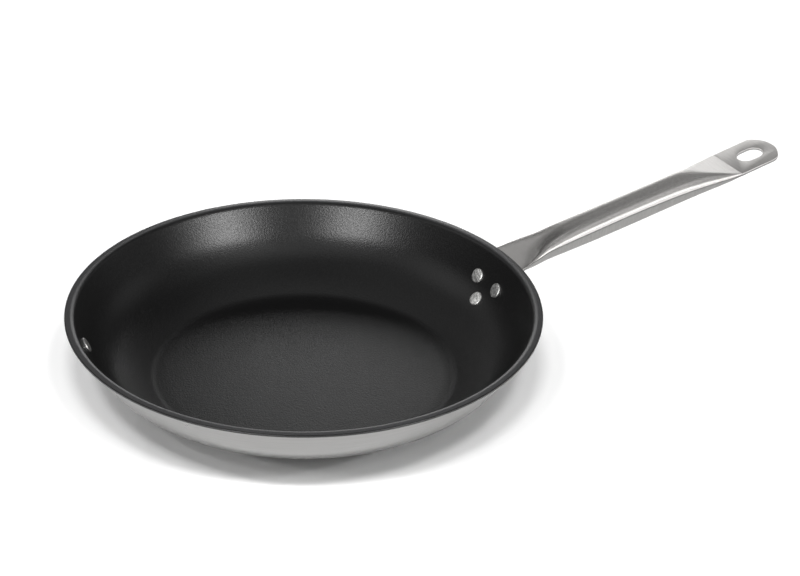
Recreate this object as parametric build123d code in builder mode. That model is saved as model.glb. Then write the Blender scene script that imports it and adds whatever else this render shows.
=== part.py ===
from build123d import *
import math
import os

os.makedirs("parts", exist_ok=True)

# ---------------------------------------------------------------- driving dimensions (mm)
RIM_R = 150.0          # outer radius of the pouring lip
RIM_Z = 53.0           # top of the lip at its outer edge, above the table
SHEET = 1.0            # stainless sheet of the pan body
SKIN = 0.25            # non-stick coating
CAP_T = 0.8            # steel cap under the base
CORE_T = 3.35          # aluminium core
BASE_R = 89.0          # outer radius of the bonded base
FLOOR_Z = CAP_T + CORE_T
PLY = 1.0              # sheet of each handle half
TAB_SLOPE = 12.5       # degrees, tab above horizontal
TAB_X = 325.1          # crease between ramp and tab
TAB_Z = 85.5           # top of the tab at the crease
TAB_HALF = 16.7
TAB_LEN = 38.2         # crease to tip, along the tab
SLOT_L, SLOT_W, SLOT_U = 19.2, 14.0, 19.0
ROOT_X = 150.3         # where the handle leaves the rim
SHANK_R = 2.5
HEAD_R = 5.0
TAIL_R = 4.2

# wall of the pan, steel outside, as corner points with the bend radii of that face
WALL = [(0.0, FLOOR_Z), (97.1, FLOOR_Z), (130.55, 23.15), (145.3, 52.1), (150.0, 51.75)]
WALL_RAD = [11.25, 42.4, 2.75]
WALL_BEND = [1, 1, -1]   # 1: centre on the inside, -1: centre on the outside

# rivets: azimuth, radius and height on the inner face, slope of the wall there (degrees)
HANDLE_RIVETS = {
    "rivet_upper_far": (5.7, 135.37, 35.36, 63.0),
    "rivet_upper_near": (-4.1, 135.37, 35.36, 63.0),
    "rivet_lower": (1.2, 127.71, 24.70, 44.8),
}
SIDE_RIVET = (166.5, 137.99, 40.5, 63.0)


def shifted(points, d):
    """Corner points moved by d to the left of the path (towards the inside of the pan)."""
    normals = []
    for (ax, ay), (bx, by) in zip(points[:-1], points[1:]):
        length = math.hypot(bx - ax, by - ay)
        normals.append((-(by - ay) / length, (bx - ax) / length))
    out = []
    for i, (px, py) in enumerate(points):
        if i == 0:
            n = normals[0]
            out.append((px + d * n[0], py + d * n[1]))
        elif i == len(points) - 1:
            n = normals[-1]
            out.append((px + d * n[0], py + d * n[1]))
        else:
            a, b = normals[i - 1], normals[i]
            k = d / (1 + a[0] * b[0] + a[1] * b[1])
            out.append((px + k * (a[0] + b[0]), py + k * (a[1] + b[1])))
    return out


def at_radius(p, q, r):
    """Point of the line p-q at radius r."""
    return (r, p[1] + (q[1] - p[1]) * (r - p[0]) / (q[0] - p[0]))


def bends(points, radii):
    """Lines and arcs of a path with rounded corners: a list of ('l', a, b) or ('a', a, mid, b)."""
    out = []
    start = points[0]
    for i in range(1, len(points) - 1):
        (ax, ay), (bx, by), (cx, cy) = points[i - 1], points[i], points[i + 1]
        lu, lv = math.hypot(bx - ax, by - ay), math.hypot(cx - bx, cy - by)
        u = ((bx - ax) / lu, (by - ay) / lu)
        v = ((cx - bx) / lv, (cy - by) / lv)
        turn = math.acos(max(-1.0, min(1.0, u[0] * v[0] + u[1] * v[1])))
        run = radii[i - 1] * math.tan(turn / 2)
        a = (bx - u[0] * run, by - u[1] * run)
        b = (bx + v[0] * run, by + v[1] * run)
        side = 1.0 if u[0] * v[1] - u[1] * v[0] > 0 else -1.0
        c = (a[0] - u[1] * side * radii[i - 1], a[1] + u[0] * side * radii[i - 1])
        w = (bx - c[0], by - c[1])
        k = radii[i - 1] / math.hypot(*w)
        m = (c[0] + w[0] * k, c[1] + w[1] * k)
        out.append(("l", start, a))
        out.append(("a", a, m, b))
        start = b
    out.append(("l", start, points[-1]))
    return out


def draw(path):
    for piece in path:
        if piece[0] == "l":
            Line(piece[1], piece[2])
        else:
            ThreePointArc(piece[1], piece[2], piece[3])


def radii_at(d):
    """Bend radii of the wall path moved d inwards from the steel outside."""
    return [r - k * d for r, k in zip(WALL_RAD, WALL_BEND)]


EDGE_R = RIM_R - SKIN
outer_pts = WALL[:-1] + [at_radius(WALL[-2], WALL[-1], EDGE_R)]
steel_in = shifted(WALL, SHEET)
steel_in[-1] = at_radius(steel_in[-2], steel_in[-1], EDGE_R)
skin_in = shifted(WALL, SHEET + SKIN)
skin_in[-1] = at_radius(skin_in[-2], skin_in[-1], RIM_R)
outer_path = bends(outer_pts, radii_at(0.0))
steel_path = bends(steel_in, radii_at(SHEET))
skin_path = bends(skin_in, radii_at(SHEET + SKIN))


def wall_plane(azimuth, r, z, slope):
    """Plane on the inner face: z axis points into the bowl, x axis runs round the pan."""
    az, sl = math.radians(azimuth), math.radians(slope)
    nr, nz = -math.sin(sl), math.cos(sl)
    return Plane(
        origin=(r * math.cos(az), r * math.sin(az), z),
        x_dir=(-math.sin(az), math.cos(az), 0),
        z_dir=(nr * math.cos(az), nr * math.sin(az), nz),
    )


rivet_planes = {k: wall_plane(*v) for k, v in HANDLE_RIVETS.items()}
side_plane = wall_plane(*SIDE_RIVET)
all_planes = list(rivet_planes.values()) + [side_plane]

# ---------------------------------------------------------------- pan body: floor, wall and lip
with BuildPart() as pan_shell:
    with BuildSketch(Plane.XZ):
        with BuildLine():
            draw(outer_path)
            Line(outer_pts[-1], steel_in[-1])
            draw(steel_path)
            Line(steel_in[0], outer_pts[0])
        make_face()
    revolve(axis=Axis.Z)
    for plane in all_planes:
        with BuildSketch(plane.offset(-4.0)):
            Circle(SHANK_R)
        extrude(amount=8.0, mode=Mode.SUBTRACT)

# ---------------------------------------------------------------- non-stick skin, wrapped over the lip's edge
with BuildPart() as nonstick_coating:
    with BuildSketch(Plane.XZ):
        with BuildLine():
            draw(steel_path)
            Line(steel_in[-1], outer_pts[-1])
            Line(outer_pts[-1], (RIM_R, outer_pts[-1][1]))
            Line((RIM_R, outer_pts[-1][1]), (RIM_R, skin_in[-1][1] - 0.2))
            ThreePointArc(
                (RIM_R, skin_in[-1][1] - 0.2),
                (RIM_R - 0.06, skin_in[-1][1] - 0.045),
                at_radius(skin_in[-2], skin_in[-1], RIM_R - 0.22),
            )
            trimmed = skin_in[:-1] + [at_radius(skin_in[-2], skin_in[-1], RIM_R - 0.22)]
            draw(bends(trimmed, radii_at(SHEET + SKIN)))
            Line(skin_in[0], steel_in[0])
        make_face()
    revolve(axis=Axis.Z)
    for plane in all_planes:
        with BuildSketch(plane.offset(-4.0)):
            Circle(SHANK_R)
        extrude(amount=8.0, mode=Mode.SUBTRACT)

# ---------------------------------------------------------------- bonded base
with BuildPart() as base_cap:
    with BuildSketch(Plane.XZ):
        with BuildLine():
            Line((0, 0), (BASE_R - 2.0, 0))
            ThreePointArc((BASE_R - 2.0, 0), (BASE_R - 2.0 + 2.0 * math.sin(math.pi / 4), 2.0 - 2.0 * math.cos(math.pi / 4)), (BASE_R, 2.0))
            Line((BASE_R, 2.0), (BASE_R, FLOOR_Z))
            Line((BASE_R, FLOOR_Z), (BASE_R - CAP_T, FLOOR_Z))
            Line((BASE_R - CAP_T, FLOOR_Z), (BASE_R - CAP_T, 2.0))
            ThreePointArc(
                (BASE_R - CAP_T, 2.0),
                (BASE_R - 2.0 + 1.2 * math.sin(math.pi / 4), 2.0 - 1.2 * math.cos(math.pi / 4)),
                (BASE_R - 2.0, CAP_T),
            )
            Line((BASE_R - 2.0, CAP_T), (0, CAP_T))
            Line((0, CAP_T), (0, 0))
        make_face()
    revolve(axis=Axis.Z)

with BuildPart() as base_core:
    with BuildSketch(Plane.XZ):
        with BuildLine():
            Line((0, CAP_T), (BASE_R - 2.0, CAP_T))
            ThreePointArc(
                (BASE_R - 2.0, CAP_T),
                (BASE_R - 2.0 + 1.2 * math.sin(math.pi / 4), 2.0 - 1.2 * math.cos(math.pi / 4)),
                (BASE_R - CAP_T, 2.0),
            )
            Line((BASE_R - CAP_T, 2.0), (BASE_R - CAP_T, FLOOR_Z))
            Line((BASE_R - CAP_T, FLOOR_Z), (0, FLOOR_Z))
            Line((0, FLOOR_Z), (0, CAP_T))
        make_face()
    revolve(axis=Axis.Z)

# ---------------------------------------------------------------- hollow handle
# stations along the handle: x, seam height, half width, height above the seam, depth below it, squareness
STATIONS = [
    (150.3, 50.67, 17.5, 1.00, 1.00, 4.0),
    (153.0, 51.66, 17.3, 1.42, 1.75, 3.6),
    (156.0, 52.70, 16.8, 1.95, 2.60, 3.2),
    (160.0, 54.03, 16.1, 2.95, 3.80, 2.6),
    (166.0, 55.60, 14.9, 4.60, 5.05, 2.2),
    (175.0, 57.40, 13.0, 6.70, 6.25, 2.0),
    (190.0, 60.12, 12.0, 8.55, 7.20, 2.0),
    (212.0, 64.08, 11.3, 9.25, 7.95, 2.0),
    (238.0, 69.13, 11.0, 9.25, 8.20, 2.0),
    (262.0, 73.48, 11.1, 9.55, 7.60, 2.0),
    (282.0, 76.87, 11.7, 9.95, 6.50, 2.0),
    (298.0, 79.50, 13.0, 9.70, 5.10, 2.0),
    (310.0, 81.55, 14.6, 9.10, 3.60, 2.0),
    (319.0, 83.20, 16.0, 8.50, 2.05, 2.0),
    (325.1, 84.48, 16.7, 8.00, 1.02, 2.0),
]


def between(rows, x):
    """Row of values at x: piecewise cubic through the rows, without overshoot."""
    i = max(j for j in range(len(rows) - 1) if rows[j][0] <= x or j == 0)
    x0, x1 = rows[i][0], rows[i + 1][0]
    h = x1 - x0
    t = (x - x0) / h
    out = [x]
    for k in range(1, len(rows[0])):
        step = [(rows[j + 1][k] - rows[j][k]) / (rows[j + 1][0] - rows[j][0]) for j in range(len(rows) - 1)]

        def slope(j):
            if j == 0:
                return step[0]
            if j == len(rows) - 1:
                return step[-1]
            a, b = step[j - 1], step[j]
            return 0.0 if a * b <= 0 else 2 * a * b / (a + b)

        m0, m1 = slope(i), slope(i + 1)
        y0, y1 = rows[i][k], rows[i + 1][k]
        out.append(
            (2 * t**3 - 3 * t**2 + 1) * y0
            + (t**3 - 2 * t**2 + t) * h * m0
            + (3 * t**2 - 2 * t**3) * y1
            + (t**3 - t**2) * h * m1
        )
    return out


PLACES = [150.3, 151.6, 153.0, 154.5, 156.0, 158.0, 160.0, 162.5, 165.0, 168.0, 171.5, 175.0, 180.0, 185.0]
PLACES += [185.0 + 6.0 * i for i in range(1, 17)]
PLACES += [286.0, 291.0, 296.0, 301.0, 306.0, 311.0, 316.0, 320.0, 323.0, 325.1]
PROFILE = [between(STATIONS, x) for x in PLACES]
TAN = math.tan(math.radians(TAB_SLOPE))


def arch(a, z, h, p, n=16):
    """Points of half a superellipse, evenly spaced along it."""
    fine = []
    for i in range(2001):
        t = math.pi * i / 2000
        c, s = math.cos(t), max(math.sin(t), 0.0)
        fine.append((a * math.copysign(abs(c) ** (2 / p), c), z + h * s ** (2 / p)))
    fine[0], fine[-1] = (a, z), (-a, z)
    run = [0.0]
    for (ax, ay), (bx, by) in zip(fine[:-1], fine[1:]):
        run.append(run[-1] + math.hypot(bx - ax, by - ay))
    pts, j = [], 0
    for i in range(n + 1):
        want = run[-1] * i / n
        while j < len(run) - 2 and run[j + 1] < want:
            j += 1
        k = (want - run[j]) / max(run[j + 1] - run[j], 1e-12)
        pts.append((fine[j][0] + k * (fine[j + 1][0] - fine[j][0]), fine[j][1] + k * (fine[j + 1][1] - fine[j][1])))
    pts[0], pts[-1] = (a, z), (-a, z)
    return pts


def top_half(x, seam, a, up, p, below=0.0):
    """Arch above the seam; below > 0 carries the outline on under the seam, for a cutter."""
    with BuildSketch(Plane.YZ.offset(x)) as across:
        with BuildLine():
            Spline(*arch(a, seam, up, p))
            if below:
                Polyline((-a, seam), (-a, seam - below), (a, seam - below), (a, seam))
            else:
                Line((-a, seam), (a, seam))
        make_face()
    return across.sketch


def low_half(x, seam, a, down, above=0.0):
    """Flat bottom with rounded corners and upright sides below the seam."""
    corner = min(2.2, 0.45 * down)
    bottom = seam - down
    top = seam + above
    k = corner * (1 - math.cos(math.pi / 4))
    with BuildSketch(Plane.YZ.offset(x)) as across:
        with BuildLine():
            Line((-a + corner, bottom), (a - corner, bottom))
            ThreePointArc((a - corner, bottom), (a - k, bottom + k), (a, bottom + corner))
            Polyline((a, bottom + corner), (a, top), (-a, top), (-a, bottom + corner))
            ThreePointArc((-a, bottom + corner), (-a + k, bottom + k), (-a + corner, bottom))
        make_face()
    return across.sketch


def ramp(drop):
    """Everything above the ramp that leads down to the tab."""
    with BuildPart() as over:
        with BuildSketch(Plane.XZ.offset(-30)):
            with BuildLine():
                Polyline(
                    (TAB_X + 5, TAB_Z - 0.3 - drop),
                    (TAB_X + 5, TAB_Z + 40),
                    (TAB_X - 55, TAB_Z + 40),
                    (TAB_X - 55, TAB_Z + 3.6 - drop),
                    close=True,
                )
            make_face()
        extrude(amount=60)
    return over.part


with BuildPart() as upper_grip:
    loft(sections=[top_half(x, seam, a, up, p) for x, seam, a, up, down, p in PROFILE], ruled=True)
    add(ramp(0.0), mode=Mode.SUBTRACT)

with BuildPart() as upper_cavity:
    loft(
        sections=[
            top_half(x, seam, a - PLY - 0.05, max(up - PLY, 0.12), p, below=2.0)
            for x, seam, a, up, down, p in PROFILE[1:-1]
        ],
        ruled=True,
    )
    add(ramp(PLY), mode=Mode.SUBTRACT)

with BuildPart() as lower_grip:
    loft(sections=[low_half(x, seam, a, down) for x, seam, a, up, down, p in PROFILE], ruled=True)

with BuildPart() as lower_cavity:
    loft(
        sections=[
            low_half(x, seam, a - PLY - 0.05, max(down - PLY, 0.12), above=2.0)
            for x, seam, a, up, down, p in PROFILE[1:-1]
        ],
        ruled=True,
    )

# root flange: two plies laid on the outside of the wall and bent out under the lip
HANDLE_TOP = 51.6      # top of the root at the rim
wall_top = [at_radius(WALL[1], WALL[2], 112.0), WALL[2]]
mw = (WALL[3][1] - WALL[2][1]) / (WALL[3][0] - WALL[2][0])
kx = (HANDLE_TOP - RIM_R * TAN - WALL[2][1] + mw * WALL[2][0]) / (mw - TAN)
knee = (kx, WALL[2][1] + mw * (kx - WALL[2][0]))
root_end = (156.0, HANDLE_TOP + TAN * (156.0 - RIM_R))
root_top = wall_top + [knee, root_end]
ROOT_RAD = [42.4, 9.0]
ROOT_BEND = [1, -1]


def root_line(d):
    pts = shifted(root_top, -d)
    return bends(pts, [r + k * d for r, k in zip(ROOT_RAD, ROOT_BEND)]), pts


top_path, top_pts = root_line(0.0)
low_path, low_pts = root_line(2 * PLY)
mid_path, mid_pts = root_line(PLY)

def flange(inner, inner_pts, outer, outer_pts):
    """One ply of the flange, between two revolved faces, cut to its outline."""
    with BuildPart() as ply:
        with BuildSketch(Plane.XZ):
            with BuildLine():
                draw(inner)
                Line(inner_pts[-1], outer_pts[-1])
                draw(outer)
                Line(outer_pts[0], inner_pts[0])
            make_face()
        revolve(axis=Axis.Z)
        with BuildSketch(Plane.YZ.offset(100)):
            with BuildLine():
                Polyline((-17.5, 60), (-17.5, 34.0), (-9.6, 20.4))
                ThreePointArc((-9.6, 20.4), (0, 14.9), (9.6, 20.4))
                Polyline((9.6, 20.4), (17.5, 34.0), (17.5, 60), (-17.5, 60))
            make_face()
        extrude(amount=ROOT_X - 100, mode=Mode.INTERSECT)
    return ply.part


tab_plane = Plane(
    origin=(TAB_X, 0, TAB_Z - PLY / math.cos(math.radians(TAB_SLOPE))),
    x_dir=(math.cos(math.radians(TAB_SLOPE)), 0, math.sin(math.radians(TAB_SLOPE))),
    z_dir=(-math.sin(math.radians(TAB_SLOPE)), 0, math.cos(math.radians(TAB_SLOPE))),
)


def tab(side):
    """One ply of the flat tab with its hanging slot, above (1) or below (-1) the meeting face."""
    with BuildPart() as ply:
        with BuildSketch(tab_plane):
            with BuildLine():
                Polyline((28.6, -TAB_HALF), (-0.22, -TAB_HALF), (-0.22, TAB_HALF), (28.6, TAB_HALF))
                ThreePointArc((28.6, TAB_HALF), (TAB_LEN, 0), (28.6, -TAB_HALF))
            outline = make_face()
            fillet([v for v in outline.vertices() if v.X > 20], 8.0)
            with Locations((SLOT_U, 0)):
                SlotOverall(SLOT_L, SLOT_W, mode=Mode.SUBTRACT)
        extrude(amount=side * PLY)
    return ply.part


upper_flange = flange(top_path, top_pts, mid_path, mid_pts)
lower_flange = flange(mid_path, mid_pts, low_path, low_pts)
upper_tab = tab(1)
lower_tab = tab(-1)

with BuildPart() as handle_upper_shell:
    add(upper_grip.part)
    add(upper_cavity.part, mode=Mode.SUBTRACT)
    add(upper_flange)
    add(upper_tab)
    for plane in rivet_planes.values():
        with BuildSketch(plane.offset(-8.0)):
            Circle(SHANK_R)
        extrude(amount=10.0, mode=Mode.SUBTRACT)

with BuildPart() as handle_lower_shell:
    add(lower_grip.part)
    add(lower_cavity.part, mode=Mode.SUBTRACT)
    add(lower_flange)
    add(lower_tab)
    for plane in rivet_planes.values():
        with BuildSketch(plane.offset(-8.0)):
            Circle(SHANK_R)
        extrude(amount=10.0, mode=Mode.SUBTRACT)

# ---------------------------------------------------------------- rivets
with BuildPart() as wall_block:
    with BuildSketch(Plane.XZ):
        with BuildLine():
            draw(skin_path)
            Polyline(skin_in[-1], (RIM_R, 30), (RIM_R, -10), (0, -10), skin_in[0])
        make_face()
    revolve(axis=Axis.Z)

with BuildPart() as inside_of_flange:
    with BuildSketch(Plane.XZ):
        with BuildLine():
            draw(low_path)
            Polyline(low_pts[-1], (156, 90), (0, 90), (0, low_pts[0][1]), low_pts[0])
        make_face()
    revolve(axis=Axis.Z)

with BuildPart() as inside_of_wall:
    with BuildSketch(Plane.XZ):
        with BuildLine():
            draw(outer_path)
            Polyline(outer_pts[-1], (EDGE_R, 90), (0, 90), outer_pts[0])
        make_face()
    revolve(axis=Axis.Z)


def rivet(plane, block, depth, tail):
    """Low domed head inside the bowl, shank through the wall, flat closed head outside."""
    ball = ((HEAD_R - 0.5) ** 2 + 0.25**2) / (2 * 0.25)
    dome = (2.25, 1.45 - ball + math.sqrt(ball**2 - 2.25**2))
    with BuildPart() as head_blank:
        with BuildSketch(Plane.XZ):
            with BuildLine():
                Polyline((0, 1.45), (0, -1.0), (HEAD_R, -1.0), (HEAD_R, 0.75))
                ThreePointArc((HEAD_R, 0.75), (HEAD_R - 0.16, 1.05), (HEAD_R - 0.5, 1.2))
                ThreePointArc((HEAD_R - 0.5, 1.2), dome, (0, 1.45))
            make_face()
        revolve(axis=Axis.Z)
    with BuildPart() as foot_blank:
        with BuildSketch(Plane.XZ):
            with BuildLine():
                Polyline((TAIL_R - 0.7, -depth - tail), (0, -depth - tail), (0, -depth + 1.2), (TAIL_R, -depth + 1.2), (TAIL_R, -depth - tail + 0.7))
                ThreePointArc((TAIL_R, -depth - tail + 0.7), (TAIL_R - 0.2, -depth - tail + 0.2), (TAIL_R - 0.7, -depth - tail))
            make_face()
        revolve(axis=Axis.Z)
    with BuildPart() as foot:
        with Locations(plane):
            add(foot_blank.part)
        add(block, mode=Mode.SUBTRACT)
    with BuildPart() as whole:
        with Locations(plane):
            add(head_blank.part)
        add(wall_block.part, mode=Mode.SUBTRACT)
        with BuildSketch(plane.offset(-depth - tail + 0.3)):
            Circle(SHANK_R)
        extrude(amount=depth + tail + 0.4)
        add(foot.part)
    return whole


rivet_upper_far = rivet(rivet_planes["rivet_upper_far"], inside_of_flange.part, SHEET + SKIN + 2 * PLY, 1.5)
rivet_upper_near = rivet(rivet_planes["rivet_upper_near"], inside_of_flange.part, SHEET + SKIN + 2 * PLY, 1.5)
rivet_lower = rivet(rivet_planes["rivet_lower"], inside_of_flange.part, SHEET + SKIN + 2 * PLY, 1.5)
side_rivet = rivet(side_plane, inside_of_wall.part, SHEET + SKIN, 1.3)

# ---------------------------------------------------------------- write the pieces
pan_shell.part.label = "pan_shell"
nonstick_coating.part.label = "nonstick_coating"
base_cap.part.label = "base_cap"
base_core.part.label = "base_core"
handle_upper_shell.part.label = "handle_upper_shell"
handle_lower_shell.part.label = "handle_lower_shell"
rivet_upper_far.part.label = "rivet_upper_far"
rivet_upper_near.part.label = "rivet_upper_near"
rivet_lower.part.label = "rivet_lower"
side_rivet.part.label = "side_rivet"

export_step(pan_shell.part, "parts/pan_shell.step")
export_step(nonstick_coating.part, "parts/nonstick_coating.step")
export_step(base_cap.part, "parts/base_cap.step")
export_step(base_core.part, "parts/base_core.step")
export_step(handle_upper_shell.part, "parts/handle_upper_shell.step")
export_step(handle_lower_shell.part, "parts/handle_lower_shell.step")
export_step(rivet_upper_far.part, "parts/rivet_upper_far.step")
export_step(rivet_upper_near.part, "parts/rivet_upper_near.step")
export_step(rivet_lower.part, "parts/rivet_lower.step")
export_step(side_rivet.part, "parts/side_rivet.step")
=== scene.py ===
import math

import bpy
import numpy as np
from mathutils import Matrix, Vector
from mathutils.noise import noise as noise3


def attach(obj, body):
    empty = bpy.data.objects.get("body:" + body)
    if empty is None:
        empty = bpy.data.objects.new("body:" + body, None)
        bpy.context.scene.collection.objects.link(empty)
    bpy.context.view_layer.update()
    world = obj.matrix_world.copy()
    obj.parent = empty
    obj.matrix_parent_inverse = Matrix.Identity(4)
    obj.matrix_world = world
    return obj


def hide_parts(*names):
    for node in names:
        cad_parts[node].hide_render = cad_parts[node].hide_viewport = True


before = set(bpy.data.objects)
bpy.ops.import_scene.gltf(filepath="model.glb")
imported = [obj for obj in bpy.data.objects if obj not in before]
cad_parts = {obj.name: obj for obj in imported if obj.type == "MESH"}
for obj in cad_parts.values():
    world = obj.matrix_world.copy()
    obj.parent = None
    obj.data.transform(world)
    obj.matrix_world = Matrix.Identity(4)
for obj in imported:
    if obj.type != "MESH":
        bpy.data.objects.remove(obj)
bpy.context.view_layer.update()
scene = bpy.context.scene
MM = 0.001

# ------------------------------------------------------------------ camera at the photograph's viewpoint
PHI = math.radians(28.9)
ELEV = math.radians(28.99)
ROLL = math.radians(1.644)


def to_model(v):
    c, s = math.cos(-PHI), math.sin(-PHI)
    return Vector((c * v[0] - s * v[1], s * v[0] + c * v[1], v[2]))


look = Vector((0, math.cos(ELEV), -math.sin(ELEV)))
right0 = Vector((1, 0, 0))
up0 = right0.cross(look)
right1 = math.cos(ROLL) * right0 + math.sin(ROLL) * up0
up1 = -math.sin(ROLL) * right0 + math.cos(ROLL) * up0
X, Y, Z = to_model(right1), to_model(up1), -to_model(look)
cam_pos = to_model(Vector((0.05951, -1.04221, 0.59127))) + Vector((0, 0, 0.053))
cam_data = bpy.data.cameras.new("photo_camera")
cam_data.sensor_fit = "HORIZONTAL"
cam_data.sensor_width = 36.0
cam_data.lens = 36.0 * 1900.0 / 800.0
cam_data.clip_start = 0.05
cam_data.clip_end = 30.0
cam = bpy.data.objects.new("photo_camera", cam_data)
scene.collection.objects.link(cam)
cam.matrix_world = Matrix((
    (X.x, Y.x, Z.x, cam_pos.x),
    (X.y, Y.y, Z.y, cam_pos.y),
    (X.z, Y.z, Z.z, cam_pos.z),
    (0, 0, 0, 1),
))
scene.camera = cam

# ------------------------------------------------------------------ wall profile, as in the CAD model (mm)
SHEET, SKIN, RIM_R = 1.0, 0.25, 150.0
FLOOR_Z = 4.15
WALL = [(0.0, FLOOR_Z), (97.1, FLOOR_Z), (130.55, 23.15), (145.3, 52.1), (150.0, 51.75)]
WALL_RAD = [11.25, 42.4, 2.75]
WALL_BEND = [1, 1, -1]


def shifted(points, d):
    normals = []
    for (ax, ay), (bx, by) in zip(points[:-1], points[1:]):
        n = math.hypot(bx - ax, by - ay)
        normals.append((-(by - ay) / n, (bx - ax) / n))
    out = []
    for i, (px, py) in enumerate(points):
        if i == 0:
            n = normals[0]
            out.append((px + d * n[0], py + d * n[1]))
        elif i == len(points) - 1:
            n = normals[-1]
            out.append((px + d * n[0], py + d * n[1]))
        else:
            a, b = normals[i - 1], normals[i]
            k = d / (1 + a[0] * b[0] + a[1] * b[1])
            out.append((px + k * (a[0] + b[0]), py + k * (a[1] + b[1])))
    return out


def at_radius(p, q, r):
    return (r, p[1] + (q[1] - p[1]) * (r - p[0]) / (q[0] - p[0]))


def rounded(points, radii, step=0.8, arc_step=math.radians(4)):
    """Points along a path whose corners are rounded."""
    out = [points[0]]
    for i in range(1, len(points) - 1):
        (ax, ay), (bx, by), (cx, cy) = points[i - 1], points[i], points[i + 1]
        lu, lv = math.hypot(bx - ax, by - ay), math.hypot(cx - bx, cy - by)
        u = ((bx - ax) / lu, (by - ay) / lu)
        v = ((cx - bx) / lv, (cy - by) / lv)
        turn = math.acos(max(-1.0, min(1.0, u[0] * v[0] + u[1] * v[1])))
        r = radii[i - 1]
        run = r * math.tan(turn / 2)
        a = (bx - u[0] * run, by - u[1] * run)
        side = 1.0 if u[0] * v[1] - u[1] * v[0] > 0 else -1.0
        c = (a[0] - u[1] * side * r, a[1] + u[0] * side * r)
        n = max(3, int(math.ceil(turn / arc_step)))
        start = math.atan2(a[1] - c[1], a[0] - c[0])
        for k in range(n + 1):
            t = start + side * turn * k / n
            out.append((c[0] + r * math.cos(t), c[1] + r * math.sin(t)))
    out.append(points[-1])
    # long straight runs are divided, so that faces stay well shaped
    fine = [out[0]]
    for (ax, ay), (bx, by) in zip(out[:-1], out[1:]):
        d = math.hypot(bx - ax, by - ay)
        if d < 1e-6:
            continue
        n = max(1, int(math.ceil(d / (step * 5))))
        for k in range(1, n + 1):
            fine.append((ax + (bx - ax) * k / n, ay + (by - ay) * k / n))
    return fine


def radii_at(d):
    return [r - k * d for r, k in zip(WALL_RAD, WALL_BEND)]


EDGE_R = RIM_R - SKIN
outer_pts = WALL[:-1] + [at_radius(WALL[-2], WALL[-1], EDGE_R)]
steel_in = shifted(WALL, SHEET)
steel_in[-1] = at_radius(steel_in[-2], steel_in[-1], EDGE_R)
skin_in = shifted(WALL, SHEET + SKIN)
skin_end = at_radius(skin_in[-2], skin_in[-1], RIM_R)
skin_in[-1] = at_radius(skin_in[-2], skin_in[-1], RIM_R - 0.35)


def mesh_object(name, verts, faces, smooth=True):
    me = bpy.data.meshes.new(name)
    me.from_pydata([tuple(v) for v in verts], [], [tuple(f) for f in faces])
    me.update()
    me.validate()
    if smooth:
        me.polygons.foreach_set("use_smooth", [True] * len(me.polygons))
    ob = bpy.data.objects.new(name, me)
    scene.collection.objects.link(ob)
    return ob


def sharpen(ob, degrees=32.0):
    """Edges steeper than this stay crisp in the shading."""
    me = ob.data
    import bmesh
    bm = bmesh.new()
    bm.from_mesh(me)
    bmesh.ops.recalc_face_normals(bm, faces=bm.faces)
    lim = math.radians(degrees)
    for e in bm.edges:
        if len(e.link_faces) == 2:
            e.smooth = e.calc_face_angle(0.0) < lim
    bm.to_mesh(me)
    bm.free()
    me.update()


def lathe(name, loop, around):
    """Closed solid of revolution: loop is a closed (r, z) path in mm; points on the axis become one vertex."""
    verts, rings = [], []
    for r, z in loop:
        if r < 1e-6:
            rings.append([len(verts)])
            verts.append((0, 0, z * MM))
        else:
            rings.append(list(range(len(verts), len(verts) + around)))
            for k in range(around):
                t = 2 * math.pi * k / around
                verts.append((r * MM * math.cos(t), r * MM * math.sin(t), z * MM))
    faces = []
    n = len(loop)
    for i in range(n):
        a, b = rings[i], rings[(i + 1) % n]
        if len(a) == 1 and len(b) == 1:
            continue
        for k in range(around):
            k2 = (k + 1) % around
            if len(a) == 1:
                faces.append((a[0], b[k2], b[k]))
            elif len(b) == 1:
                faces.append((a[k], a[k2], b[0]))
            else:
                faces.append((a[k], a[k2], b[k2], b[k]))
    ob = mesh_object(name, verts, faces)
    return ob


AROUND = 320
outer_line = rounded(outer_pts, radii_at(0.0))
steel_line = rounded(steel_in, radii_at(SHEET))
skin_line = rounded(skin_in, radii_at(SHEET + SKIN))
# lip edge of the skin, rolled over
edge_arc = []
er = 0.35
for k in range(1, 7):
    t = math.pi / 2 * (1 - k / 6)
    edge_arc.append((RIM_R - er + er * math.cos(t), skin_in[-1][1] - er + er * math.sin(t)))
low_edge = outer_pts[-1][1]

shell_vis = lathe("pan_body", outer_line + steel_line[::-1], AROUND)
sharpen(shell_vis)
skin_loop = skin_line + edge_arc + [(RIM_R, low_edge + 0.1), (RIM_R - 0.08, low_edge), (EDGE_R, low_edge)] + steel_line[::-1]
skin_vis = lathe("nonstick_skin", skin_loop, AROUND)
sharpen(skin_vis, 40)

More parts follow.
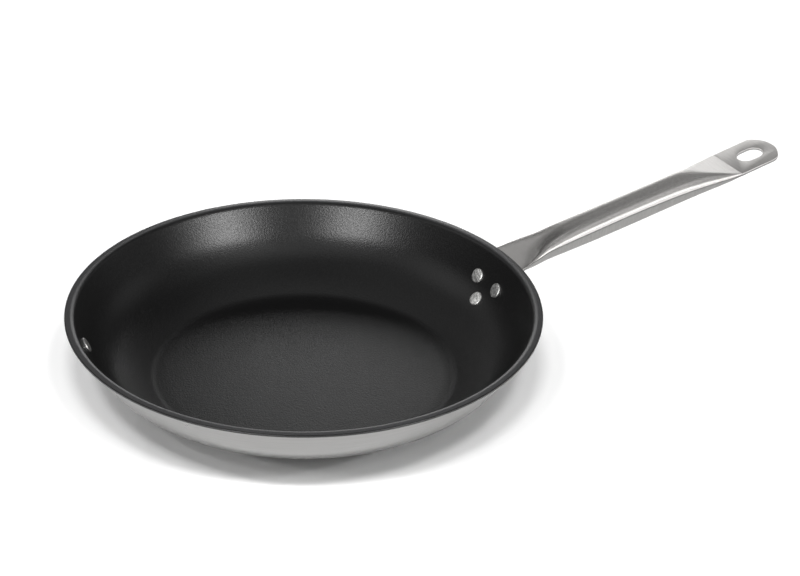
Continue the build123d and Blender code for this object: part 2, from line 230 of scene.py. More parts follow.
# ------------------------------------------------------------------ handle
TAB_SLOPE = math.radians(12.5)
TAN = math.tan(TAB_SLOPE)
TAB_X, TAB_Z, TAB_HALF, TAB_LEN = 325.1, 85.5, 16.7, 38.2
STATIONS = np.array([
    (150.3, 50.67, 17.5, 1.00, 1.00, 4.0),
    (153.0, 51.66, 17.3, 1.42, 1.75, 3.6),
    (156.0, 52.70, 16.8, 1.95, 2.60, 3.2),
    (160.0, 54.03, 16.1, 2.95, 3.80, 2.6),
    (166.0, 55.60, 14.9, 4.60, 5.05, 2.2),
    (175.0, 57.40, 13.0, 6.70, 6.25, 2.0),
    (190.0, 60.12, 12.0, 8.55, 7.20, 2.0),
    (212.0, 64.08, 11.3, 9.25, 7.95, 2.0),
    (238.0, 69.13, 11.0, 9.25, 8.20, 2.0),
    (262.0, 73.48, 11.1, 9.55, 7.60, 2.0),
    (282.0, 76.87, 11.7, 9.95, 6.50, 2.0),
    (298.0, 79.50, 13.0, 9.70, 5.10, 2.0),
    (310.0, 81.55, 14.6, 9.10, 3.60, 2.0),
    (319.0, 83.20, 16.0, 8.50, 2.05, 2.0),
    (325.1, 84.48, 16.7, 8.00, 1.02, 2.0),
])


def natural_spline(xs, ys):
    n = len(xs)
    h = np.diff(xs)
    A = np.zeros((n, n))
    b = np.zeros(n)
    A[0, 0] = A[-1, -1] = 1
    for i in range(1, n - 1):
        A[i, i - 1], A[i, i], A[i, i + 1] = h[i - 1], 2 * (h[i - 1] + h[i]), h[i]
        b[i] = 6 * ((ys[i + 1] - ys[i]) / h[i] - (ys[i] - ys[i - 1]) / h[i - 1])
    m = np.linalg.solve(A, b)

    def at(x):
        i = int(np.clip(np.searchsorted(xs, x) - 1, 0, n - 2))
        a, c = xs[i + 1] - x, x - xs[i]
        return (m[i] * a ** 3 + m[i + 1] * c ** 3) / (6 * h[i]) + (ys[i] / h[i] - m[i] * h[i] / 6) * a + (ys[i + 1] / h[i] - m[i + 1] * h[i] / 6) * c
    return at


def monotone(xs, ys):
    n = len(xs)
    d = np.diff(ys) / np.diff(xs)
    m = np.zeros(n)
    m[0], m[-1] = d[0], d[-1]
    for i in range(1, n - 1):
        m[i] = 0 if d[i - 1] * d[i] <= 0 else 2 * d[i - 1] * d[i] / (d[i - 1] + d[i])

    def at(x):
        i = int(np.clip(np.searchsorted(xs, x) - 1, 0, n - 2))
        h = xs[i + 1] - xs[i]
        t = (x - xs[i]) / h
        return (2 * t ** 3 - 3 * t ** 2 + 1) * ys[i] + (t ** 3 - 2 * t ** 2 + t) * h * m[i] + (3 * t ** 2 - 2 * t ** 3) * ys[i + 1] + (t ** 3 - t ** 2) * h * m[i + 1]
    return at


SX = STATIONS[:, 0]
seam_z, half_w, up_h, down_h, square = [monotone(SX, STATIONS[:, k]) for k in range(1, 6)]


def smooth_min(a, b, k):
    h = np.clip(0.5 + 0.5 * (b - a) / k, 0, 1)
    return b * (1 - h) + a * h - k * h * (1 - h)


def ramp_z(x):
    return TAB_Z + 0.0675 * (TAB_X - x)


def arch_points(a, h, p, n):
    """(t, rise) of half a superellipse, evenly spaced along it, from the near side (-a) to the far side (+a)."""
    th = np.linspace(0, math.pi, 1201)
    c, s = np.cos(th), np.maximum(np.sin(th), 0)
    y = -a * np.sign(c) * np.abs(c) ** (2 / p)
    z = h * s ** (2 / p)
    run = np.concatenate([[0], np.cumsum(np.hypot(np.diff(y), np.diff(z)))])
    want = np.linspace(0, run[-1], n)
    return np.interp(want, run, y), np.interp(want, run, z)


# root: path of the two plies down the outside of the wall
HANDLE_TOP = 51.6
wall_top = [at_radius(WALL[1], WALL[2], 112.0), WALL[2]]
mw = (WALL[3][1] - WALL[2][1]) / (WALL[3][0] - WALL[2][0])
kx = (HANDLE_TOP - RIM_R * TAN - WALL[2][1] + mw * WALL[2][0]) / (mw - TAN)
knee = (kx, WALL[2][1] + mw * (kx - WALL[2][0]))
root_top = wall_top + [knee, (156.0, HANDLE_TOP + TAN * (156.0 - RIM_R))]
mid_pts = shifted(root_top, -1.0)
mid_line = np.array(rounded(mid_pts, [43.4, 8.0], step=0.15))
keep = (mid_line[:, 1] > 14.9) & (mid_line[:, 0] < 150.25)
mid_line = mid_line[keep]
run = np.concatenate([[0], np.cumsum(np.hypot(np.diff(mid_line[:, 0]), np.diff(mid_line[:, 1])))])
n_root = 70
root_s = np.linspace(0, run[-1], n_root)
root_mid = np.stack([np.interp(root_s, run, mid_line[:, 0]), np.interp(root_s, run, mid_line[:, 1])], 1)


def flange_half(z):
    """Half width of the flange at height z of its outline."""
    if z < 20.4:
        cz, r = 25.34, 10.44
        return math.sqrt(max(r * r - (z - cz) ** 2, 0.0))
    if z < 34.0:
        return 9.6 + (z - 20.4) * (17.5 - 9.6) / (34.0 - 20.4)
    return 17.5


def curved(r0, z0, nr, nz, t, h, k):
    """Point h off the meeting face at sideways distance t; k carries the pan's round over to the root."""
    return (r0 + h * nr - k * t * t / (2 * 146.0), t, z0 + h * nz)


N_ARCH, N_FLAT = 89, 12
SEAM_R = 0.22


def ply_edge(h):
    """Side profile of one flat ply, (inset, height) from the meeting face up, with soft edges."""
    e = 0.2
    pts = []
    for q in range(4):
        t = math.pi / 2 * q / 3
        pts.append((e - e * math.sin(t), e - e * math.cos(t)))
    for q in range(4):
        t = math.pi / 2 * q / 3
        pts.append((e - e * math.cos(t), h - e + e * math.sin(t)))
    return pts


rows_up, rows_low = [], []
for (r0, z0), (r1, z1) in zip(root_mid, np.vstack([root_mid[1:], root_mid[-1:] * 2 - root_mid[-2:-1]])):
    d = math.hypot(r1 - r0, z1 - z0)
    nr, nz = -(z1 - z0) / d, (r1 - r0) / d
    a = max(flange_half(z0), 0.35)
    k = 1.0
    edge = ply_edge(1.0)
    top_t, top_h = [], []
    # one closed loop for the upper ply: near edge, top face, far edge, meeting face
    loop = [(-a + i, h) for i, h in edge]
    n_top = N_ARCH - 2 * len(edge)
    xs = np.linspace(-a + 0.2, a - 0.2, n_top + 2)[1:-1]
    loop += [(x, 1.0) for x in xs]
    loop += [(a - i, h) for i, h in edge[::-1]]
    flat = np.linspace(a - 0.2, -a + 0.2, N_FLAT + 2)[1:-1]
    loop_up = loop + [(x, 0.0) for x in flat]
    rows_up.append([curved(r0, z0, nr, nz, t, h, k) for t, h in loop_up])
    rows_low.append([curved(r0, z0, nr, nz, t, -h, k) for t, h in loop_up])

xs_handle = np.concatenate([
    np.linspace(150.35, 182.0, 54)[:-1],
    np.linspace(182.0, 280.0, 50)[:-1],
    np.linspace(280.0, 325.1, 80),
])


def low_outline(a, down, n):
    """Half outline of the underside channel, from the seam down the near side, along the bottom, up the far side."""
    corner = min(2.4, 0.45 * down)
    pts = []
    m = 12
    for q in range(m + 1):
        f = q / m
        pts.append((-a, -SEAM_R - f * (down - corner - SEAM_R)))
    for q in range(1, 9):
        t = math.pi / 2 * q / 8
        pts.append((-a + corner - corner * math.cos(t), -down + corner - corner * math.sin(t)))
    nb = n - 2 * len(pts)
    for q in range(1, nb + 1):
        pts.append((-a + corner + (2 * a - 2 * corner) * q / (nb + 1), -down))
    half = pts[: m + 9]
    pts += [(-x, z) for x, z in half[::-1]]
    return pts


for x in xs_handle:
    a, up, down, p, sz = float(half_w(x)), float(up_h(x)), float(down_h(x)), min(float(square(x)), 2.2), float(seam_z(x))
    k = float(np.clip((166.0 - x) / 15.0, 0, 1))
    k = k * k * (3 - 2 * k)
    t, h = arch_points(a, up, p, N_ARCH)
    z = sz + h
    if x > 278:
        rz = ramp_z(x)
        soft = 1.6 * float(np.clip((TAB_X - x) / 12.0, 0.12, 1))
        zz = smooth_min(z, np.full_like(z, rz), soft)
        w = np.clip((x - 278) / 6.0, 0, 1)
        z = z * (1 - w) + zz * w
    # the very edge turns in, so that the seam shows as a fine groove
    near = np.clip(h / (SEAM_R + 1e-9), 0, 1)
    inset = SEAM_R * (1 - near) ** 2 * 0.9
    t = t - np.sign(t) * inset
    flat = np.linspace(t[-1], t[0], N_FLAT + 2)[1:-1]
    row = [(x - k * tt * tt / 292.0, tt, zz) for tt, zz in zip(t, z)] + [(x - k * tt * tt / 292.0, tt, sz) for tt in flat]
    rows_up.append(row)
    pts = low_outline(a, down, N_ARCH - 2)
    first = (-a + SEAM_R * 0.9, 0.0)
    last = (a - SEAM_R * 0.9, 0.0)
    pts = [first] + pts + [last]
    flat = np.linspace(last[0], first[0], N_FLAT + 2)[1:-1]
    rows_low.append([(x - k * tt * tt / 292.0, tt, sz + hh) for tt, hh in pts] + [(x - k * tt * tt / 292.0, tt, sz) for tt in flat])


def skin_rows(name, rows):
    m = len(rows[0])
    verts = [(a * MM, b * MM, c * MM) for row in rows for a, b, c in row]
    faces = []
    for i in range(len(rows) - 1):
        for j in range(m):
            j2 = (j + 1) % m
            faces.append((i * m + j, i * m + j2, (i + 1) * m + j2, (i + 1) * m + j))
    faces.append(tuple(range(m - 1, -1, -1)))
    faces.append(tuple((len(rows) - 1) * m + j for j in range(m)))
    return mesh_object(name, verts, faces)


def tab_ply(name, side):
    """One ply of the flat tab, from a flat curve with soft edges, its slot cut through."""
    cu = bpy.data.curves.new(name, "CURVE")
    cu.dimensions = "2D"
    cu.fill_mode = "BOTH"
    bev = 0.2 * MM
    cu.extrude = 0.5 * MM - bev
    cu.bevel_depth = bev
    cu.bevel_resolution = 3
    cu.offset = -bev
    # outline in tab coordinates, mm
    pts = []
    R, c0 = 20.0, TAB_LEN - 20.0
    # corner blend between the straight side and the end arc
    side_y = TAB_HALF
    rc = 8.0
    cy = side_y - rc
    cx = c0 + math.sqrt((R - rc) ** 2 - cy ** 2)
    ang = math.atan2(cy, cx - c0)
    pts.append((0.0, -side_y))
    for q in range(1, 12):
        pts.append((cx * q / 12, -side_y))
    for q in range(0, 13):
        t = -math.pi / 2 + (math.pi / 2 - ang) * q / 12
        pts.append((cx + rc * math.cos(t), -cy + rc * math.sin(t)))
    for q in range(1, 24):
        t = -ang + 2 * ang * q / 24
        pts.append((c0 + R * math.cos(t), R * math.sin(t)))
    for q in range(0, 13):
        t = ang + (math.pi / 2 - ang) * q / 12
        pts.append((cx + rc * math.cos(t), cy + rc * math.sin(t)))
    for q in range(11, 0, -1):
        pts.append((cx * q / 12, side_y))
    pts.append((0.0, side_y))
    hole = []
    L, W, U = 19.2, 14.0, 19.0
    d = (L - W) / 2
    for q in range(33):
        t = -math.pi / 2 + math.pi * q / 32
        hole.append((U + d + W / 2 * math.cos(t), W / 2 * math.sin(t)))
    for q in range(33):
        t = math.pi / 2 + math.pi * q / 32
        hole.append((U - d + W / 2 * math.cos(t), W / 2 * math.sin(t)))
    for loop in (pts, hole[::-1]):
        sp = cu.splines.new("POLY")
        sp.points.add(len(loop) - 1)
        for i, (u, v) in enumerate(loop):
            sp.points[i].co = (u * MM, v * MM, 0, 1)
        sp.use_cyclic_u = True
    tmp = bpy.data.objects.new(name, cu)
    scene.collection.objects.link(tmp)
    bpy.context.view_layer.update()
    me = bpy.data.meshes.new_from_object(tmp.evaluated_get(bpy.context.evaluated_depsgraph_get()))
    bpy.data.objects.remove(tmp)
    cs, sn = math.cos(TAB_SLOPE), math.sin(TAB_SLOPE)
    mid_z = TAB_Z - 1.0 / cs
    m = Matrix((
        (cs, 0, -sn, TAB_X * MM),
        (0, 1, 0, 0),
        (sn, 0, cs, mid_z * MM),
        (0, 0, 0, 1),
    )) @ Matrix.Translation((0, 0, side * 0.5 * MM))
    me.transform(m)
    ob = bpy.data.objects.new(name, me)
    scene.collection.objects.link(ob)
    return ob


def weld(name, parts):
    import bmesh
    bm = bmesh.new()
    for ob in parts:
        bm.from_mesh(ob.data)
    bmesh.ops.remove_doubles(bm, verts=bm.verts, dist=2e-7)
    me = bpy.data.meshes.new(name)
    bm.to_mesh(me)
    bm.free()
    me.polygons.foreach_set("use_smooth", [True] * len(me.polygons))
    for ob in parts:
        bpy.data.objects.remove(ob)
    ob = bpy.data.objects.new(name, me)
    scene.collection.objects.link(ob)
    return ob


handle_up = weld("handle_upper", [skin_rows("hu", rows_up), tab_ply("tu", 1)])
sharpen(handle_up, 28)
handle_low = weld("handle_lower", [skin_rows("hl", rows_low), tab_ply("tl", -1)])
sharpen(handle_low, 28)


# ------------------------------------------------------------------ rivets
HEAD_R, TAIL_R, SHANK_R = 5.0, 4.2, 2.5
RIVETS = {
    "rivet_upper_far": (5.7, 135.37, 35.36, 63.0, SHEET + SKIN + 2.0, 1.5),
    "rivet_upper_near": (-4.1, 135.37, 35.36, 63.0, SHEET + SKIN + 2.0, 1.5),
    "rivet_lower": (1.2, 127.71, 24.70, 44.8, SHEET + SKIN + 2.0, 1.5),
    "side_rivet": (166.5, 137.99, 40.5, 63.0, SHEET + SKIN, 1.3),
}


def rivet_mesh(name, seed, azimuth, r, z, slope, depth, tail):
    """Worn low head inside the bowl, shank, set foot outside; the head is slightly dented by its setting."""
    az, sl = math.radians(azimuth), math.radians(slope)
    nr, nz = -math.sin(sl), math.cos(sl)
    n = Vector((nr * math.cos(az), nr * math.sin(az), nz))
    xd = Vector((-math.sin(az), math.cos(az), 0))
    yd = n.cross(xd)
    o = Vector((r * math.cos(az), r * math.sin(az), z))
    prof = []
    for q in range(0, 13):
        rr = 4.2 * q / 12
        prof.append((rr, 1.45 - 0.22 * (rr / 4.2) ** 2))
    for q in range(1, 9):
        t = math.pi / 2 * q / 8
        prof.append((4.2 + 0.8 * math.sin(t), 1.23 - 0.8 + 0.8 * math.cos(t)))
    prof += [(5.0, 0.1), (4.9, -0.12), (2.6, -0.12), (SHANK_R, -0.25)]
    low = -(depth + 0.05)
    prof += [(SHANK_R, low + 0.3), (2.7, low + 0.05), (TAIL_R - 0.1, low + 0.05), (TAIL_R, low - 0.1)]
    bottom = -(depth + tail)
    for q in range(0, 7):
        t = math.pi / 2 * q / 6
        prof.append((TAIL_R - 0.7 + 0.7 * math.cos(t), bottom + 0.7 - 0.7 * math.sin(t)))
    prof += [(2.4, bottom), (1.2, bottom), (0.0, bottom)]
    seg = 96
    verts, rings = [], []
    for rr, h in prof:
        idx = []
        for k in range(1 if rr < 1e-6 else seg):
            t = 2 * math.pi * k / seg
            u, v = rr * math.cos(t), rr * math.sin(t)
            hh = h
            if h > 0.3:
                d = noise3(Vector((u * 0.55, v * 0.55, seed * 7.3))) * 0.10
                d += noise3(Vector((u * 1.5, v * 1.5, seed * 3.1 + 11))) * 0.035
                hh = h + min(d, 0.02) * min(1.0, (h - 0.3) / 0.6)
            idx.append(len(verts))
            verts.append((o + xd * u + yd * v + n * hh) * MM)
        rings.append(idx)
    faces = []
    for a, b in zip(rings[:-1], rings[1:]):
        for k in range(seg):
            k2 = (k + 1) % seg
            if len(a) == 1:
                faces.append((a[0], b[k], b[k2]))
            elif len(b) == 1:
                faces.append((a[k], b[0], a[k2]))
            else:
                faces.append((a[k], b[k], b[k2], a[k2]))
    ob = mesh_object("vis_" + name, verts, faces)
    sharpen(ob, 40)
    return ob


rivets_vis = {k: rivet_mesh(k, i + 1, *v) for i, (k, v) in enumerate(RIVETS.items())}


# ------------------------------------------------------------------ materials
def new_material(name):
    mat = bpy.data.materials.new(name)
    mat.use_nodes = True
    nt = mat.node_tree
    for n in list(nt.nodes):
        nt.nodes.remove(n)
    out = nt.nodes.new("ShaderNodeOutputMaterial")
    bsdf = nt.nodes.new("ShaderNodeBsdfPrincipled")
    nt.links.new(bsdf.outputs[0], out.inputs[0])
    return mat, nt, bsdf


def node(nt, kind, **props):
    n = nt.nodes.new(kind)
    for k, v in props.items():
        if k.startswith("in_"):
            n.inputs[int(k[3:])].default_value = v
        else:
            setattr(n, k, v)
    return n


def link(nt, a, b):
    nt.links.new(a, b)


def noise(nt, vec, scale, detail=2.0, rough=0.5, stretch=None):
    if stretch:
        mp = node(nt, "ShaderNodeMapping")
        mp.inputs["Scale"].default_value = stretch
        link(nt, vec, mp.inputs["Vector"])
        vec = mp.outputs[0]
    n = node(nt, "ShaderNodeTexNoise")
    n.inputs["Scale"].default_value = scale
    n.inputs["Detail"].default_value = detail
    n.inputs["Roughness"].default_value = rough
    link(nt, vec, n.inputs["Vector"])
    return n.outputs["Fac"]


def remap(nt, src, lo, hi, a=0.0, b=1.0):
    m = node(nt, "ShaderNodeMapRange")
    m.inputs["From Min"].default_value = a
    m.inputs["From Max"].default_value = b
    m.inputs["To Min"].default_value = lo
    m.inputs["To Max"].default_value = hi
    link(nt, src, m.inputs["Value"])
    return m.outputs[0]


def polar(nt):
    """(angle, radius, height) of the object's own coordinates, for lathe marks."""
    tc = node(nt, "ShaderNodeTexCoord")
    sep = node(nt, "ShaderNodeSeparateXYZ")
    link(nt, tc.outputs["Object"], sep.inputs[0])
    at = node(nt, "ShaderNodeMath", operation="ARCTAN2")
    link(nt, sep.outputs["Y"], at.inputs[0])
    link(nt, sep.outputs["X"], at.inputs[1])
    ln = node(nt, "ShaderNodeVectorMath", operation="LENGTH")
    flat = node(nt, "ShaderNodeCombineXYZ")
    link(nt, sep.outputs["X"], flat.inputs[0])
    link(nt, sep.outputs["Y"], flat.inputs[1])
    link(nt, flat.outputs[0], ln.inputs[0])
    comb = node(nt, "ShaderNodeCombineXYZ")
    link(nt, at.outputs[0], comb.inputs[0])
    link(nt, ln.outputs["Value"], comb.inputs[1])
    link(nt, sep.outputs["Z"], comb.inputs[2])
    return tc, comb.outputs[0]


def mix_color(nt, fac, a, b):
    m = node(nt, "ShaderNodeMix", data_type="RGBA")
    m.inputs[6].default_value = (*a, 1)
    m.inputs[7].default_value = (*b, 1)
    link(nt, fac, m.inputs[0])
    return m.outputs[2]


def bump(nt, height, strength, distance, bsdf):
    b = node(nt, "ShaderNodeBump")
    b.inputs["Strength"].default_value = strength
    b.inputs["Distance"].default_value = distance
    link(nt, height, b.inputs["Height"])
    link(nt, b.outputs[0], bsdf.inputs["Normal"])


def steel_round():
    mat, nt, bs = new_material("steel_spun")
    tc, pol = polar(nt)
    fine = noise(nt, pol, 1.0, 3, 0.6, stretch=(3.0, 2500.0, 2500.0))
    broad = noise(nt, tc.outputs["Object"], 22.0, 2, 0.5)
    bs.inputs["Metallic"].default_value = 1.0
    # painted shade: this steel is painted darker than the handle's upper shell, standing in for the shaded floor
    # that the pan's outside reflects
    link(nt, mix_color(nt, fine, (0.21, 0.208, 0.205), (0.31, 0.3077, 0.3025)), bs.inputs["Base Color"])
    link(nt, remap(nt, broad, 0.24, 0.34), bs.inputs["Roughness"])
    bump(nt, fine, 0.06, 0.0002, bs)
    return mat


def steel_long():
    """Handle, upper half: long brushing on the grip, marks across on the ramp and the tab."""
    mat, nt, bs = new_material("steel_handle")
    tc = node(nt, "ShaderNodeTexCoord")
    obj = tc.outputs["Object"]
    lengthwise = noise(nt, obj, 1.0, 3, 0.6, stretch=(60.0, 2600.0, 2600.0))
    across = noise(nt, obj, 1.0, 3, 0.65, stretch=(2600.0, 90.0, 900.0))
    broad = noise(nt, obj, 60.0, 3, 0.6)
    # flat = 1 on the ramp and the tab
    sep = node(nt, "ShaderNodeSeparateXYZ")
    link(nt, obj, sep.inputs[0])
    line = node(nt, "ShaderNodeMath", operation="MULTIPLY_ADD")
    line.inputs[1].default_value = 0.0675
    link(nt, sep.outputs["X"], line.inputs[0])
    link(nt, sep.outputs["Z"], line.inputs[2])
    facet = remap(nt, line.outputs[0], 0.0, 1.0, TAB_Z * MM + 0.0675 * TAB_X * MM - 0.0007, TAB_Z * MM + 0.0675 * TAB_X * MM - 0.0002)
    far = remap(nt, sep.outputs["X"], 0.0, 1.0, 0.279, 0.285)
    both = node(nt, "ShaderNodeMath", operation="MULTIPLY")
    link(nt, facet, both.inputs[0])
    link(nt, far, both.inputs[1])
    beyond = remap(nt, sep.outputs["X"], 0.0, 1.0, 0.3249, 0.3252)
    flat = node(nt, "ShaderNodeMath", operation="MAXIMUM")
    link(nt, both.outputs[0], flat.inputs[0])
    link(nt, beyond, flat.inputs[1])
    fine = node(nt, "ShaderNodeMix", data_type="FLOAT")
    link(nt, flat.outputs[0], fine.inputs[0])
    link(nt, lengthwise, fine.inputs[2])
    link(nt, across, fine.inputs[3])
    bs.inputs["Metallic"].default_value = 1.0
    link(nt, mix_color(nt, fine.outputs[0], (0.50, 0.486, 0.474), (0.84, 0.825, 0.806)), bs.inputs["Base Color"])
    rough = node(nt, "ShaderNodeMath", operation="MULTIPLY_ADD")
    rough.inputs[1].default_value = 0.12
    link(nt, flat.outputs[0], rough.inputs[0])
    link(nt, remap(nt, broad, 0.20, 0.28), rough.inputs[2])
    link(nt, rough.outputs[0], bs.inputs["Roughness"])
    bump(nt, fine.outputs[0], 0.10, 0.0002, bs)
    return mat


def steel_under_painted_shade():
    """Handle, lower half: duller satin with fine marks across; its colour is painted darker than the upper half's
    steel, as painted shade for the underside.
    """
    mat, nt, bs = new_material("steel_under_painted_shade")
    tc = node(nt, "ShaderNodeTexCoord")
    obj = tc.outputs["Object"]
    fine = noise(nt, obj, 1.0, 3, 0.65, stretch=(2200.0, 300.0, 200.0))
    broad = noise(nt, obj, 60.0, 3, 0.6)
    bs.inputs["Metallic"].default_value = 1.0
    # painted shade: a darker colour than the upper half's steel
    link(nt, mix_color(nt, fine, (0.22, 0.217, 0.212), (0.40, 0.396, 0.387)), bs.inputs["Base Color"])
    link(nt, remap(nt, broad, 0.34, 0.42), bs.inputs["Roughness"])
    bump(nt, fine, 0.10, 0.0002, bs)
    return mat


def coating():
    mat, nt, bs = new_material("nonstick_black")
    tc, pol = polar(nt)
    obj = tc.outputs["Object"]
    grain = noise(nt, obj, 1000.0, 2, 0.55)
    cloud = noise(nt, obj, 14.0, 3, 0.5)
    # painted sheen: the lip is painted a greyer black, standing in for the light it reflects; its outer edge keeps
    # the dark coating
    sep = node(nt, "ShaderNodeSeparateXYZ")
    link(nt, pol, sep.inputs[0])
    rise = remap(nt, sep.outputs["Y"], 0.0, 1.0, 0.1447, 0.1458)
    fall = remap(nt, sep.outputs["Y"], 1.0, 0.0, 0.1492, 0.1496)
    lip_sheen_mask = node(nt, "ShaderNodeMath", operation="MULTIPLY")
    link(nt, rise, lip_sheen_mask.inputs[0])
    link(nt, fall, lip_sheen_mask.inputs[1])
    dark = mix_color(nt, grain, (0.0030, 0.0030, 0.0031), (0.0070, 0.0070, 0.0071))
    # painted sheen: the greyer colour painted on the lip
    wear_and_painted_sheen = mix_color(nt, noise(nt, pol, 1.0, 3, 0.6, stretch=(260.0, 500.0, 500.0)), (0.032, 0.032, 0.033), (0.062, 0.062, 0.064))
    tone = node(nt, "ShaderNodeMix", data_type="RGBA")
    link(nt, lip_sheen_mask.outputs[0], tone.inputs[0])
    link(nt, dark, tone.inputs[6])
    link(nt, wear_and_painted_sheen, tone.inputs[7])
    link(nt, tone.outputs[2], bs.inputs["Base Color"])
    blotch = node(nt, "ShaderNodeMath", operation="MULTIPLY_ADD")
    blotch.inputs[1].default_value = 0.20
    link(nt, grain, blotch.inputs[0])
    link(nt, remap(nt, cloud, 0.22, 0.26), blotch.inputs[2])
    # rubbed duller where the floor turns into the wall
    turn = node(nt, "ShaderNodeMath", operation="MULTIPLY")
    link(nt, remap(nt, sep.outputs["Y"], 0.0, 1.0, 0.088, 0.096), turn.inputs[0])
    link(nt, remap(nt, sep.outputs["Y"], 1.0, 0.0, 0.101, 0.112), turn.inputs[1])
    dull = node(nt, "ShaderNodeMath", operation="MULTIPLY_ADD")
    dull.inputs[1].default_value = 0.14
    link(nt, turn.outputs[0], dull.inputs[0])
    link(nt, blotch.outputs[0], dull.inputs[2])
    link(nt, dull.outputs[0], bs.inputs["Roughness"])
    bs.inputs["Specular IOR Level"].default_value = 0.5
    bump(nt, grain, 1.0, 0.00013, bs)
    return mat


def rivet_metal():
    mat, nt, bs = new_material("rivet_dull")
    tc = node(nt, "ShaderNodeTexCoord")
    obj = tc.outputs["Object"]
    scratch = noise(nt, obj, 1500.0, 4, 0.7)
    cloud = noise(nt, obj, 700.0, 4, 0.7)
    wear_and_painted_sheen = remap(nt, cloud, 0.0, 1.0, 0.36, 0.62)
    bs.inputs["Metallic"].default_value = 1.0
    link(nt, mix_color(nt, wear_and_painted_sheen, (0.30, 0.297, 0.29), (0.86, 0.855, 0.84)), bs.inputs["Base Color"])
    link(nt, remap(nt, scratch, 0.30, 0.55), bs.inputs["Roughness"])
    bump(nt, scratch, 0.6, 0.0001, bs)
    return mat


def plain_metal(name, lo, hi, rough):
    mat, nt, bs = new_material(name)
    tc, pol = polar(nt)
    ring = noise(nt, pol, 1.0, 2, 0.6, stretch=(1.5, 5000.0, 2500.0))
    bs.inputs["Metallic"].default_value = 1.0
    link(nt, mix_color(nt, ring, lo, hi), bs.inputs["Base Color"])
    link(nt, remap(nt, ring, rough - 0.05, rough + 0.06), bs.inputs["Roughness"])
    bump(nt, ring, 0.08, 0.0002, bs)
    return mat


M_PAN, M_HANDLE, M_UNDER, M_COAT, M_RIVET = steel_round(), steel_long(), steel_under_painted_shade(), coating(), rivet_metal()
M_CAP = plain_metal("steel_base", (0.55, 0.545, 0.53), (0.66, 0.655, 0.64), 0.32)
M_CORE = plain_metal("aluminium_core", (0.7, 0.7, 0.71), (0.8, 0.8, 0.81), 0.4)


def paint(ob, mat):
    ob.data.materials.clear()
    ob.data.materials.append(mat)


for ob, mat, nodes_, slot in (
    (shell_vis, M_PAN, ["pan_shell"], "pan_steel"),
    (skin_vis, M_COAT, ["nonstick_coating"], "coating"),
    (handle_up, M_HANDLE, ["handle_upper_shell"], "handle_steel"),
    (handle_low, M_UNDER, ["handle_lower_shell"], "handle_steel"),
):
    paint(ob, mat)
    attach(ob, "root")
    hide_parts(*nodes_)

for name, ob in rivets_vis.items():
    paint(ob, M_RIVET)
    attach(ob, "root")
    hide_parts(name)

for name, mat in (("base_cap", M_CAP), ("base_core", M_CORE)):
    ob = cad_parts[name]
    ob.data.materials.clear()
    ob.data.materials.append(mat)

# ------------------------------------------------------------------ floor, backdrop, light
floor = mesh_object("floor", [(-8, -8, 0), (8, -8, 0), (8, 8, 0), (-8, 8, 0)], [(0, 1, 2, 3)], smooth=False)
fm, nt, bs = new_material("floor_white")
tc = node(nt, "ShaderNodeTexCoord")
soft = noise(nt, tc.outputs["Object"], 3.0, 2, 0.5)
link(nt, mix_color(nt, soft, (0.90, 0.90, 0.90), (0.92, 0.92, 0.92)), bs.inputs["Base Color"])
bs.inputs["Roughness"].default_value = 0.9
bs.inputs["Specular IOR Level"].default_value = 0.1
paint(floor, fm)

world = bpy.data.worlds.new("studio")
scene.world = world
world.use_nodes = True
wn = world.node_tree
bg = wn.nodes["Background"]
bg.inputs["Color"].default_value = (1, 1, 1, 1)
bg.inputs["Strength"].default_value = 0.06

CAM_AZ = math.radians(-90.0) - PHI   # direction from the pan to the camera, on the floor
TOWARDS = Vector((math.cos(CAM_AZ), math.sin(CAM_AZ), 0))
RIGHT = Vector((-TOWARDS.y, TOWARDS.x, 0))


def receivers(name, obs):
    col = bpy.data.collections.new(name)
    for ob in obs:
        col.objects.link(ob)
    return col


LIT_BOWL = receivers("lit_bowl", [shell_vis, skin_vis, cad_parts["base_cap"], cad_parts["base_core"]] + list(rivets_vis.values()))
LIT_RIVETS = receivers("lit_rivets", [ob for name, ob in rivets_vis.items() if name != "side_rivet"])
LIT_HANDLE = receivers("lit_handle", [handle_up])
LIT_GRIP = receivers("lit_grip", [handle_low])
LIT_FLOOR = receivers("lit_floor", [floor])
SHADE_BOWL = receivers("shade_bowl", [shell_vis, skin_vis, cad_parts["base_cap"]])


def area(name, pos, aim, w, h, watts, lit):
    ld = bpy.data.lights.new(name, "AREA")
    ld.shape = "RECTANGLE"
    ld.size, ld.size_y = w, h
    ld.energy = watts
    ob = bpy.data.objects.new(name, ld)
    scene.collection.objects.link(ob)
    ob.location = pos
    ob.rotation_euler = (aim - pos).to_track_quat("-Z", "Y").to_euler()
    ob.light_linking.receiver_collection = lit
    return ob


def softbox(name, az_deg, elev_deg, half_w, half_h, bright, lit, dist=3.0, target=(0, 0, 0.05)):
    """Soft light seen from the target as a box of +-half_w x +-half_h degrees; azimuth 0 is the camera's
    side, positive to the camera's right; bright is its radiance."""
    az, el = CAM_AZ + math.radians(az_deg), math.radians(elev_deg)
    t = Vector(target)
    pos = t + dist * Vector((math.cos(az) * math.cos(el), math.sin(az) * math.cos(el), math.sin(el)))
    w, h = 2 * dist * math.tan(math.radians(half_w)), 2 * dist * math.tan(math.radians(half_h))
    return area(name, pos, t, w, h, bright * math.pi * w * h, lit)


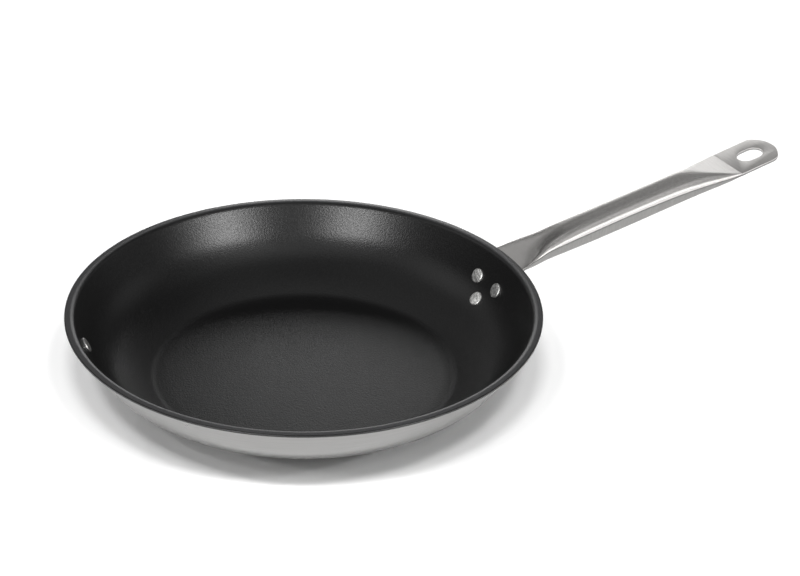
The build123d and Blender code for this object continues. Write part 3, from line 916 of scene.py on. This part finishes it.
BOWL_LIGHTS = [
    ("key_left", -24, 18, 8, 14, 18.5),
    ("key_right", 46.4, 19, 8, 14, 18.0),
    ("top_right", 48, 51, 12, 12, 0.84),
    ("top_left", -18, 51, 18, 12, 0.28),
    ("side_left", -92, 40, 20, 15, 0.6),
    ("back_mid", 180, 16, 11, 15, 1.9, 1.0),
    ("back_left", -152, 15, 11, 14, 0.22),
    ("back_right", 152, 15, 11, 14, 0.04),
    ("side_back_right", 116, 22, 15, 12, 0.35),
    ("side_back_left", -125, 32, 18, 14, 0.25),
    ("over_front", 0, 66, 30, 12, 0.42),
    ("over_right", 90, 68, 14, 14, 0.30),
    ("over_left", -130, 68, 14, 14, 0.26),
]
HANDLE_LIGHTS = [
    ("handle_low_right", 60, 6, 26, 8, 1.9),
    ("handle_low_front", 24, 4, 10, 8, 1.2),
    ("handle_mid_right", 72, 17, 10, 8, 1.3),
    ("handle_top_right", 72, 36, 14, 10, 0.45),
    ("handle_dome", 125, 62, 30, 18, 0.22),
    ("handle_back", 180, 4, 34, 9, 3.2),
    ("handle_back_mid", 180, 18, 34, 6, 0.9),
    ("handle_ramp", 178, 27, 10, 5, 1.3),
    ("handle_back_high", -170, 42, 34, 9, 0.22),
    ("handle_root", -122, 46, 24, 20, 0.17),
    ("handle_root_high", -60, 62, 18, 12, 0.16),
    ("handle_fill", 10, 40, 48, 26, 0.34),
    ("handle_left", -72, 4, 14, 8, 0.8),
    ("handle_over", 0, 68, 18, 14, 0.63),
    ("handle_over_left", -90, 68, 14, 14, 0.45),
]
GRIP_LIGHTS = [
    ("grip_side", 40, 12, 20, 10, 0.35),
]
for row in BOWL_LIGHTS:
    softbox(*row[:6], LIT_BOWL, dist=row[6] if len(row) > 6 else 3.0)
for row in HANDLE_LIGHTS:
    softbox(*row, LIT_HANDLE, target=(0.23, 0, 0.07))
softbox("handle_tab", -163, 38, 14, 12, 0.06, LIT_HANDLE, dist=0.55, target=(0.345, 0, 0.09))
softbox("rivet_soft", -70, 42, 34, 26, 0.68, LIT_RIVETS, target=(0.135, 0, 0.035))
for row in GRIP_LIGHTS:
    softbox(*row, LIT_GRIP, target=(0.23, 0, 0.07))

# lamps that light only the floor, so that the pan's shadow falls as in the photograph:
# (to the right, towards the camera, share), all at the same height
FLOOR_LIGHTS = [
    (-2.4, 1.3, 0.50), (-0.95, 1.1, 0.16), (2.4, 1.3, 0.08), (2.4, 0.9, 0.54),
    (-0.45, 0.9, 0.34), (0.0, 0.9, 0.44), (0.45, 0.9, 0.38), (0.95, 1.1, 0.10),
    (-1.6, -1.5, 0.15), (0.95, -1.5, 0.05),
]
floor_lamps = []
for i, (u, v, k) in enumerate(FLOOR_LIGHTS):
    floor_lamps.append(area("floor_light_%02d" % i, RIGHT * u + TOWARDS * v + Vector((0, 0, 1.5)), Vector((0, 0, 0.03)), 0.3, 0.16, 30.0 * k, LIT_FLOOR))
floor_lamps.append(softbox("floor_back_low", 180, 8, 19, 7, 2.0, LIT_FLOOR))
floor_lamps.append(softbox("floor_back", 180, 22, 19, 16, 1.2, LIT_FLOOR))
# turned away from the pan: this one lights only the ground behind it
floor_lamps.append(area("floor_behind", TOWARDS * -1.5 + Vector((0, 0, 1.5)), TOWARDS * -3.0, 1.4, 0.5, 80.0, LIT_FLOOR))
for lamp in floor_lamps:
    lamp.light_linking.blocker_collection = SHADE_BOWL

scene.view_settings.view_transform = "Standard"
scene.view_settings.look = "None"
scene.view_settings.exposure = 0.0
scene.view_settings.gamma = 1.0
